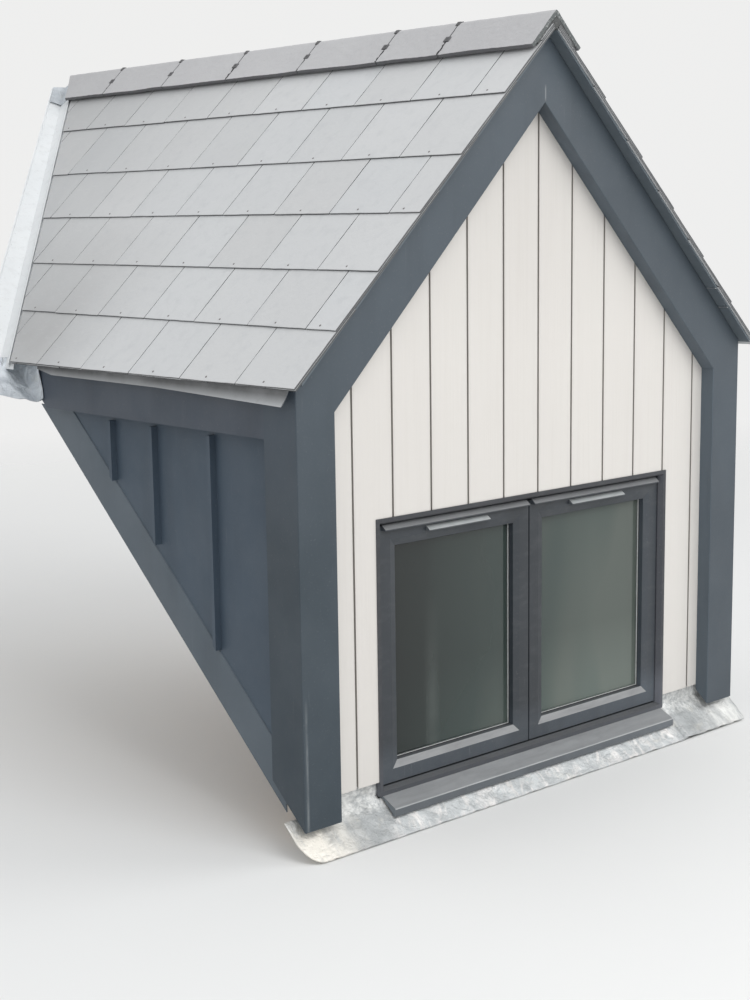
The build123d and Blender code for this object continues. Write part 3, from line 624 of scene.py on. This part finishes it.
# Slates
course_tails = (0.0, 0.2063, 0.4109, 0.6187, 0.8317, 1.065, 1.268)
uneven_course = 5
uneven_shift = 0.009
under_eaves_length = 0.29
under_eaves_drop = 0.005
slates_a_course = 14
slate_width = 0.2472
slate_length = 0.500
slate_thick = 0.0050
slate_tilt = 0.0048 / 0.210
slate_rim = 0.0010
worn_rim = 0.0012
narrowest_slate = 0.03
shortest_slate = 0.05
tail_slip = 0.0012
slate_play = 0.0005
first_joint = -0.1762
joint_gap = 0.0036
head_line = eaves_x / slope_cos - 0.022
edge_step = 0.03
rivet_radius = 0.0034
rivet_height = 0.0014
rivet_aside = 0.012
rivet_above_tail = 0.013
dome_sides = 10
dome_rows = (1.0, 0.75, 0.4)


def eaves_trim(y):
    """The eaves course is cut a little shorter towards the front."""
    return max(0.0, 0.012 - 0.0085 * (y - verge_y))


def valley_cut(distance):
    """Depth y of the slates' cut edge beside the valley, at a distance up the slope."""
    x = eaves_x - distance * slope_cos
    return (slope_z(x, deck_depth) - cover_height) / main_rise - valley_gap


def clipped(points, inside, cross):
    """Polygon cut by a line: inside says which points stay, cross finds where an edge crosses."""
    result = []
    for index, point in enumerate(points):
        other = points[index - 1]
        if inside(point) != inside(other):
            result.append(cross(other, point))
        if inside(point):
            result.append(point)
    return result


def valley_side(point):
    """How far a point (y, distance) lies in front of the cut beside the valley."""
    return valley_cut(point[1]) - point[0]


def valley_cross(a, b):
    """Point of the line from a to b that lies on the cut."""
    share = valley_side(a) / (valley_side(a) - valley_side(b))
    return (a[0] + (b[0] - a[0]) * share, a[1] + (b[1] - a[1]) * share)


def stepped(points, step, rng, jitter):
    """Polygon with points added along its edges, each moved a little."""
    result = []
    for index, start in enumerate(points):
        end = points[(index + 1) % len(points)]
        length = math.dist(start, end)
        count = max(1, round(length / step))
        for part in range(count):
            share = part / count
            move = jitter if part else jitter * 0.4
            result.append((
                start[0] + (end[0] - start[0]) * share + rng.uniform(-move, move),
                start[1] + (end[1] - start[1]) * share + rng.uniform(-move, move),
            ))
    return result


def inset(points, amount):
    """Polygon drawn in towards its middle by about amount."""
    middle = (sum(p[0] for p in points) / len(points), sum(p[1] for p in points) / len(points))
    result = []
    for y, s in points:
        away = math.dist((y, s), middle)
        share = (away - amount) / away
        result.append((middle[0] + (y - middle[0]) * share, middle[1] + (s - middle[1]) * share))
    return result


def slope_point(side, y, distance, depth):
    """Point on a slope: side is -1 for the left one, depth is square to it, below the slates."""
    out = eaves_x - distance * slope_cos - depth * slope_sin
    return Vector((side * out, y, eaves_z + distance * slope_sin - depth * slope_cos))


def add_slate(form, side, outline, tail, lift, tone, warm, layers):
    """One slate: an outline in (y, distance) that leans back from its tail, with softened edges."""
    def ring(points, depth):
        return [
            form.verts.new(slope_point(side, y, s, depth - lift + slate_tilt * (s - tail)))
            for y, s in points
        ]

    tone_layer, warm_layer, edge_shade_layer = layers
    top = ring(inset(outline, worn_rim), 0.0)
    upper = ring(outline, slate_rim)
    lower = ring(outline, slate_thick)
    faces = [form.faces.new(top), form.faces.new(list(reversed(lower)))]
    rims = []
    for high, low in ((top, upper), (upper, lower)):
        for index in range(len(outline)):
            after = (index + 1) % len(outline)
            rims.append(form.faces.new((high[index], low[index], low[after], high[after])))
    for face in faces + rims:
        face[tone_layer] = tone
        face[warm_layer] = warm
        face[edge_shade_layer] = 0.0
    # Painted shade in the edge layer: each slate's thickness is marked fully, and its worn bevel is
    # marked half along the verge.
    for index, start in enumerate(outline):
        end = outline[(index + 1) % len(outline)]
        at_verge = max(start[0], end[0]) < verge_y + 0.002
        rims[index][edge_shade_layer] = 0.5 if at_verge else 0.0
        rims[len(outline) + index][edge_shade_layer] = 1.0


def add_dome(form, middle, normal, radius, height):
    """Low round head, such as a rivet's."""
    turn = normal.to_track_quat("Z", "Y").to_matrix()
    angles = [math.tau * k / dome_sides for k in range(dome_sides)]
    rows = []
    for share in dome_rows:
        out = radius * share
        up = height * (1 - share * share)
        places = [Vector((out * math.cos(a), out * math.sin(a), up)) for a in angles]
        rows.append([form.verts.new(middle + turn @ place) for place in places])
    for outer, inner in zip(rows, rows[1:]):
        for k in range(dome_sides):
            after = (k + 1) % dome_sides
            form.faces.new((outer[k], outer[after], inner[after], inner[k]))
    form.faces.new(rows[-1])


def slope_rows():
    """Each course: its tail's distance up the slope, length, lift and share of a slate's shift."""
    rows = [(0.0, under_eaves_length, -under_eaves_drop, 0.5, 0.0)]
    for index, tail in enumerate(course_tails):
        extra = uneven_shift if index == uneven_course else 0.0
        rows.append((tail, slate_length, 0.0, index / 2, extra))
    return rows


def slope_slates(side, name, seed):
    """The slates of one slope, cut along the valley, and the heads of their rivets."""
    rng = random.Random(seed)
    rivets = []

    def course(form, layers, tail, length, lift, start):
        """One course from its tails up, with its first slate at start."""
        for index in range(slates_a_course):
            low_y = max(verge_y, start + index * slate_width + joint_gap / 2)
            high_y = start + (index + 1) * slate_width - joint_gap / 2
            if high_y - low_y < narrowest_slate:
                continue
            slip = rng.uniform(-tail_slip, tail_slip)
            trims = [eaves_trim(y) if tail == 0 else 0 for y in (low_y, high_y)]
            low_s, far_s = (max(0.0, tail + slip + trim) for trim in trims)
            high_s = min(tail + length, head_line)
            corners = [(low_y, low_s), (high_y, far_s), (high_y, high_s), (low_y, high_s)]
            corners = clipped(corners, lambda point: valley_side(point) > 0, valley_cross)
            if len(corners) < 3 or max(s for _, s in corners) - low_s < shortest_slate:
                continue
            outline = stepped(corners, edge_step, rng, slate_play)
            tone = min(1.0, max(0.0, rng.gauss(0.5, 0.2)))
            warm = rng.random()
            raised = lift + rng.uniform(0, slate_play)
            add_slate(form, side, outline, tail, raised, tone, warm, layers)
            middle_y = (low_y + high_y) / 2
            in_front = valley_side((middle_y, tail + 0.03)) > 0.01
            if lift == 0 and in_front and tail < course_tails[-1]:
                rivets.append((middle_y + rivet_aside, (low_s + far_s) / 2 + rivet_above_tail))

    def build(form):
        # The edge layer carries the painted shade of the slates' rims.
        layers = [form.faces.layers.float.new(layer) for layer in ("tone", "warm", "edge")]
        for tail, length, lift, shift, extra in slope_rows():
            start = first_joint + (shift % 1.0 - 1.0) * slate_width + extra
            course(form, layers, tail, length, lift, start)
        for vert in form.verts:
            vert.co = kept_inside(vert.co)

    def build_rivets(form):
        outward = Vector((side * slope_sin, 0, slope_cos))
        for y, s in rivets:
            add_dome(form, slope_point(side, y, s, -0.0001), outward, rivet_radius, rivet_height)

    piece(f"{name}_slate_courses", mesh_of("slates", build), slate, [f"{name}_slates"])
    piece(f"{name}_slate_rivets", mesh_of("rivets", build_rivets), rivet_metal)


slope_slates(-1, "left", 11)
slope_slates(1, "right", 23)


# Crumpled sheets
most_splits = 12


def refined(form, longest):
    """Splits edges until none is longer than the given length."""
    for _ in range(most_splits):
        edges = [edge for edge in form.edges if edge.calc_length() > longest]
        if not edges:
            return
        bmesh.ops.subdivide_edges(form, edges=edges, cuts=1, use_grid_fill=False)
        bmesh.ops.triangulate(form, faces=[face for face in form.faces if len(face.verts) > 4])


def split_at(form, axis, place):
    """Cuts the form by a plane square to an axis, so that a step can run along it."""
    spot = Vector((0, 0, 0))
    spot[axis] = place
    normal = Vector((0, 0, 0))
    normal[axis] = 1.0
    everything = form.verts[:] + form.edges[:] + form.faces[:]
    bmesh.ops.bisect_plane(form, geom=everything, plane_co=spot, plane_no=normal)


def reshaped(node, name, paint, longest, move, cuts=(), smooth=True):
    """Copy of a CAD node in small triangles, with every vertex moved by move(place).

    Each cut is an axis and a place where a plane splits the copy first.
    """
    form = bmesh.new()
    form.from_mesh(nodes[node].data)
    bmesh.ops.remove_doubles(form, verts=form.verts, dist=1e-6)
    for axis, place in cuts:
        split_at(form, axis, place)
    bmesh.ops.triangulate(form, faces=form.faces)
    refined(form, longest)
    for vert in form.verts:
        vert.co = kept_inside(vert.co + move(vert.co))
    mesh = bpy.data.meshes.new(name)
    form.to_mesh(mesh)
    form.free()
    for face in mesh.polygons:
        face.use_smooth = smooth
    piece(name, mesh, paint, [node])


def crease(point, scale):
    """Noise with sharp ridges, from 0 in its hollows to 1 on the ridges."""
    return 1.0 - min(1.0, abs(noise.noise(point * scale)) * 2.2)


def dents(point, waves):
    """Soft dents: each wave has a scale and a height."""
    return sum(height * (0.5 + 0.5 * noise.noise(point * scale)) for scale, height in waves)


main_normal = Vector((0, -math.sin(main_pitch), math.cos(main_pitch)))
apron_lap = 0.617
lap_step = 0.001
lap_height = 0.0035
arris_half = 0.008


def apron_move(place):
    """Lead dressed by hand, with its right sheet lapped over the left one."""
    lap = lap_height if place.x > apron_lap + lap_step / 2 else 0.0
    return main_normal * (dents(place, ((8, 0.002), (34, 0.0012))) + 0.0022 * crease(place, 16) + lap)


def saddle_move(place):
    lift = dents(place, ((14, 0.006), (45, 0.003))) + 0.006 * crease(place, 20)
    outward = Vector((math.copysign(1.0, place.x), 0, 0)) * 0.6
    return (main_normal + outward) * lift


def ridge_move(place):
    """Sanded tiles, a little wavy, with a worn arris."""
    rough = noise.noise_vector(place * 60) * 0.0009
    wavy = noise.noise_vector(place * 7 + Vector((3, 1, 2))) * 0.0022
    worn = 0.0026 * max(0.0, 1.0 - abs(place.x) / arris_half)
    return rough + wavy * min(1.0, abs(place.x) / 0.06) - Vector((0, 0, worn))


def mortar_move(place):
    return noise.noise_vector(place * 45) * 0.003 + noise.noise_vector(place * 110) * 0.0015


lap_cuts = [(0, apron_lap), (0, apron_lap + lap_step)]
arris_cuts = [(0, -arris_half), (0, arris_half)]
reshaped("front_apron", "apron_lead", lead, 0.010, apron_move, lap_cuts)
reshaped("valley_saddles", "saddle_lead", paler_saddle_lead, 0.008, saddle_move)
reshaped("ridge_tiles", "ridge_courses", ridge_tile, 0.012, ridge_move, arris_cuts, False)
reshaped("ridge_bedding", "ridge_mortar", mortar, 0.010, mortar_move, smooth=False)


# Ridge joints
ridge_wing = 0.140
ridge_top = apex_z + 0.024
ridge_joints = (0.207, 0.4747, 0.8527, 1.2307, 1.6087, 1.9867)
seal_depth = 0.008
seal_margin = 0.002
lower_clamp = 0.0645
clamp_knob = 0.0745
taper = 0.9


def ridge_point(side, y, down, lift):
    """Point above a wing of the ridge tiles, at a distance down from the arris."""
    return Vector((
        side * (down * slope_cos + lift * slope_sin),
        y,
        ridge_top - down * slope_sin + lift * slope_cos,
    ))


def add_slab(form, corner, along, across, up):
    """Box from a corner and three edges, with its upper rim drawn in a little."""
    low = [corner, corner + along, corner + along + across, corner + across]
    middle = corner + (along + across) / 2 + up
    top = [point + up for point in low]
    top = [middle + (point - middle) * taper for point in top]
    lower = [form.verts.new(point) for point in low]
    upper = [form.verts.new(point) for point in top]
    form.faces.new(list(reversed(lower)))
    form.faces.new(upper)
    for k in range(4):
        form.faces.new((lower[k], lower[(k + 1) % 4], upper[(k + 1) % 4], upper[k]))


def build_seals(form):
    """Sealant in the joints, in short uneven lengths, smeared wider below the clamps."""
    rng = random.Random(9)
    last = ridge_wing - seal_margin
    for y in ridge_joints:
        for side in (-1, 1):
            outward = Vector((side * slope_sin, 0, slope_cos))
            down = 0.004
            while down < last:
                length = min(rng.uniform(0.004, 0.010), last - down)
                smeared = 1.0 if down > 0.078 else 0.5
                front = y - 0.0018 - smeared * rng.uniform(0, 0.0030)
                width = 0.0036 + smeared * rng.uniform(0, 0.0040)
                start = ridge_point(side, front, down, -seal_depth)
                across = ridge_point(side, front, down + length, -seal_depth) - start
                height = 0.0062 + smeared * rng.uniform(0.0010, 0.0030)
                add_slab(form, start, Vector((0, width, 0)), across, outward * height)
                down += length


def build_clamps(form):
    """Two clamps a side on each joint, one at the arris and one halfway down with a round knob."""
    rng = random.Random(5)
    for y in ridge_joints:
        for side in (-1, 1):
            outward = Vector((side * slope_sin, 0, slope_cos))
            downward = Vector((side * slope_cos, 0, -slope_sin))
            for down, length, width, height, lift in (
                (lower_clamp, 0.020, 0.022, 0.0034, -0.0008),
                (0.0005, 0.016, 0.015, 0.0060, -0.0035),
            ):
                front = y - width / 2 + rng.uniform(-0.002, 0.002)
                start = ridge_point(side, front, down + rng.uniform(0, 0.002), lift)
                add_slab(form, start, Vector((0, width, 0)), downward * length, outward * height)
            add_dome(form, ridge_point(side, y, clamp_knob, 0.0025), outward, 0.0045, 0.0028)
    for vert in form.verts:
        vert.co = kept_inside(vert.co)


piece("ridge_seals", mesh_of("seals", build_seals), seal)
piece("ridge_clamps", mesh_of("clamps", build_clamps), clamp_metal)


# Verge clips
clip_places = (0.742, 0.804)
clip_depth = 0.0201
clip_length = 0.036
clip_width = 0.0032
clip_thick = 0.0012


def build_verge_clips(form):
    """Two thin steel straps under the right verge."""
    for x in clip_places:
        add_slab(
            form,
            Vector((x, front_face - clip_length, slope_z(x, clip_depth))),
            Vector((0, clip_length, 0)),
            Vector((slope_cos, 0, -slope_sin)) * clip_width,
            Vector((-slope_sin, 0, -slope_cos)) * clip_thick,
        )


piece("verge_clips", mesh_of("verge_clips", build_verge_clips), handle_metal)


# Glazing
pane_low, pane_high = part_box("glass_units")
sash_low, sash_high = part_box("left_sash")
glass_edge = 0.010
clear_rim = glass_edge + 0.006
pane_sheet = 0.004
spacer_inset = 0.004
spacer_sight = 0.005
spacer_play = 0.0002
gasket_width = 0.0030
gasket_depth = 0.0040
gasket_play = 0.0001


def add_box(form, low, high):
    xs, ys, zs = zip(low, high)
    verts = [form.verts.new((x, y, z)) for x in xs for y in ys for z in zs]
    for quad in ((0, 1, 3, 2), (4, 6, 7, 5), (0, 4, 5, 1), (2, 3, 7, 6), (0, 2, 6, 4), (1, 5, 7, 3)):
        form.faces.new([verts[k] for k in quad])


def add_ring(form, x_span, z_span, width, y_span):
    """Rectangular ring of four mitred bars."""
    loops = []
    for y in y_span:
        for grow in (0.0, width):
            loops.append([
                form.verts.new((x, y, z))
                for x, z in (
                    (x_span[0] + grow, z_span[0] + grow),
                    (x_span[1] - grow, z_span[0] + grow),
                    (x_span[1] - grow, z_span[1] - grow),
                    (x_span[0] + grow, z_span[1] - grow),
                )
            ])
    outer_front, inner_front, outer_back, inner_back = loops
    around = (outer_front, inner_front, inner_back, outer_back)
    for index, a in enumerate(around):
        b = around[(index + 1) % 4]
        for k in range(4):
            form.faces.new((a[k], a[(k + 1) % 4], b[(k + 1) % 4], b[k]))


left_pane_x = (pane_low.x, sash_low.x + sash_high.x - pane_low.x)
pane_spans = (left_pane_x, (-left_pane_x[1], -left_pane_x[0]))
pane_z = (pane_low.z, pane_high.z)


def build_panes(form):
    """Two sheets of glass in each sash, cut so that a clear rim lies over the spacer."""
    rim = form.faces.layers.float.new("rim")
    for span in pane_spans:
        for y in (pane_low.y, pane_high.y - pane_sheet):
            add_box(form, (span[0], y, pane_z[0]), (span[1], y + pane_sheet, pane_z[1]))
    edges = [(0, span) for span in pane_spans] + [(2, pane_z)]
    for axis, (low_edge, high_edge) in edges:
        split_at(form, axis, low_edge + clear_rim)
        split_at(form, axis, high_edge - clear_rim)
    for face in form.faces:
        middle = face.calc_center_median()
        span = pane_spans[0] if middle.x < 0 else pane_spans[1]
        x_away = min(middle.x - span[0], span[1] - middle.x)
        z_away = min(middle.z - pane_z[0], pane_z[1] - middle.z)
        face[rim] = 1.0 if min(x_away, z_away) < clear_rim else 0.0


def drawn_in(span, amount):
    return (span[0] + amount, span[1] - amount)


def build_spacers(form):
    for span in pane_spans:
        add_ring(
            form,
            drawn_in(span, spacer_inset),
            drawn_in(pane_z, spacer_inset),
            glass_edge - spacer_inset + spacer_sight,
            (pane_low.y + pane_sheet + spacer_play, pane_high.y - pane_sheet - spacer_play),
        )


def build_gaskets(form):
    for span in pane_spans:
        add_ring(
            form,
            drawn_in(span, glass_edge),
            drawn_in(pane_z, glass_edge),
            gasket_width,
            (pane_low.y - gasket_depth, pane_low.y - gasket_play),
        )


piece("glass_panes", mesh_of("panes", build_panes), glass, ["glass_units"])
piece("glass_spacers", mesh_of("spacers", build_spacers), spacer)
piece("glass_gaskets", mesh_of("gaskets", build_gaskets), gasket)


# Floor, light and camera
floor_half = 30.0
floor_gap = 0.001
fade_start = 3.0
fade_end = 9.0


def floor():
    """Pale floor that fades out far from the dormer and can't be seen from below."""
    mesh = bpy.data.meshes.new("floor")
    ways = ((-1, -1), (1, -1), (1, 1), (-1, 1))
    corners = [(x * floor_half, y * floor_half, cad_low.z - floor_gap) for x, y in ways]
    mesh.from_pydata(corners, [], [(0, 1, 2, 3)])
    paint = Paint("floor", (0.80, 0.80, 0.79), 0.9)
    paint.tint(paint.noise(0.6), (0.78, 0.78, 0.775), 0.5)
    material = paint.done()
    make = paint.tree.nodes.new
    away = make("ShaderNodeVectorMath")
    away.operation = "LENGTH"
    paint.feed(away.inputs[0], paint.place)
    faded = paint.ranged(away.outputs["Value"], fade_start, fade_end)
    below = make("ShaderNodeNewGeometry").outputs["Backfacing"]
    mix = make("ShaderNodeMixShader")
    paint.feed(mix.inputs[0], paint.math("MAXIMUM", faded, below))
    paint.feed(mix.inputs[1], paint.shader.outputs[0])
    paint.feed(mix.inputs[2], make("ShaderNodeBsdfTransparent").outputs[0])
    paint.feed(paint.tree.nodes["Material Output"].inputs["Surface"], mix.outputs[0])
    mesh.materials.append(material)
    thing = bpy.data.objects.new("floor", mesh)
    scene.collection.objects.link(thing)


def sky():
    """Even light that is stronger overhead; the camera, gloss and glass see a plain pale background."""
    world = bpy.data.worlds.new("sky")
    world.use_nodes = True
    scene.world = world
    tree = world.node_tree
    make = tree.nodes.new
    light = tree.nodes["Background"]
    seen = make("ShaderNodeBackground")
    seen.inputs["Color"].default_value = (0.86, 0.86, 0.855, 1)
    place = make("ShaderNodeTexCoord")
    parts = make("ShaderNodeSeparateXYZ")
    tree.links.new(place.outputs["Generated"], parts.inputs[0])
    ramp = make("ShaderNodeMapRange")
    ramp.inputs["From Min"].default_value = -0.1
    ramp.inputs["From Max"].default_value = 0.9
    ramp.inputs["To Min"].default_value = 0.45
    ramp.inputs["To Max"].default_value = 0.95
    tree.links.new(parts.outputs["Z"], ramp.inputs["Value"])
    light.inputs["Color"].default_value = (0.97, 0.985, 1.0, 1)
    tree.links.new(ramp.outputs[0], light.inputs["Strength"])
    path = make("ShaderNodeLightPath")
    shown = path.outputs["Is Camera Ray"]
    for ray in ("Is Glossy Ray", "Is Transmission Ray"):
        either = make("ShaderNodeMath")
        either.operation = "MAXIMUM"
        tree.links.new(shown, either.inputs[0])
        tree.links.new(path.outputs[ray], either.inputs[1])
        shown = either.outputs[0]
    mix = make("ShaderNodeMixShader")
    tree.links.new(shown, mix.inputs[0])
    tree.links.new(light.outputs[0], mix.inputs[1])
    tree.links.new(seen.outputs[0], mix.inputs[2])
    tree.links.new(mix.outputs[0], tree.nodes["World Output"].inputs["Surface"])


def lamp(name, place, target, size, power):
    """Square lamp that points at a target."""
    light = bpy.data.lights.new(name, "AREA")
    light.size = size
    light.energy = power
    thing = bpy.data.objects.new(name, light)
    thing.location = place
    thing.rotation_euler = (Vector(target) - Vector(place)).to_track_quat("-Z", "Y").to_euler()
    scene.collection.objects.link(thing)


camera_place = (-3.51707, -3.38401, 1.59543)
camera_turn = (41.3298, 9.6925, -0.8166)
camera_lens = 60.018
camera_film = 36.0
lamp_target = (0, 0.4, 1.0)


def camera():
    """Camera turned to the right of the y axis by its yaw, down by its pitch, and rolled."""
    yaw, pitch, roll = (math.radians(angle) for angle in camera_turn)
    forward = Vector((
        math.sin(yaw) * math.cos(pitch),
        math.cos(yaw) * math.cos(pitch),
        -math.sin(pitch),
    ))
    right = Vector((math.cos(yaw), -math.sin(yaw), 0))
    up = right.cross(forward)
    turned_right = right * math.cos(roll) + up * math.sin(roll)
    turned_up = up * math.cos(roll) - right * math.sin(roll)
    lens = bpy.data.cameras.new("camera")
    lens.lens = camera_lens
    lens.sensor_width = camera_film
    thing = bpy.data.objects.new("camera", lens)
    axes = Matrix((turned_right, turned_up, -forward)).transposed()
    thing.matrix_world = Matrix.Translation(camera_place) @ axes.to_4x4()
    scene.collection.objects.link(thing)
    scene.camera = thing


floor()
sky()
lamp("key", (-0.8, -5.6, 6.2), lamp_target, 5.0, 260)
lamp("fill", (5.0, -3.5, 4.2), lamp_target, 4.0, 90)
camera()
scene.view_settings.view_transform = "Standard"

bpy.context.view_layer.update()
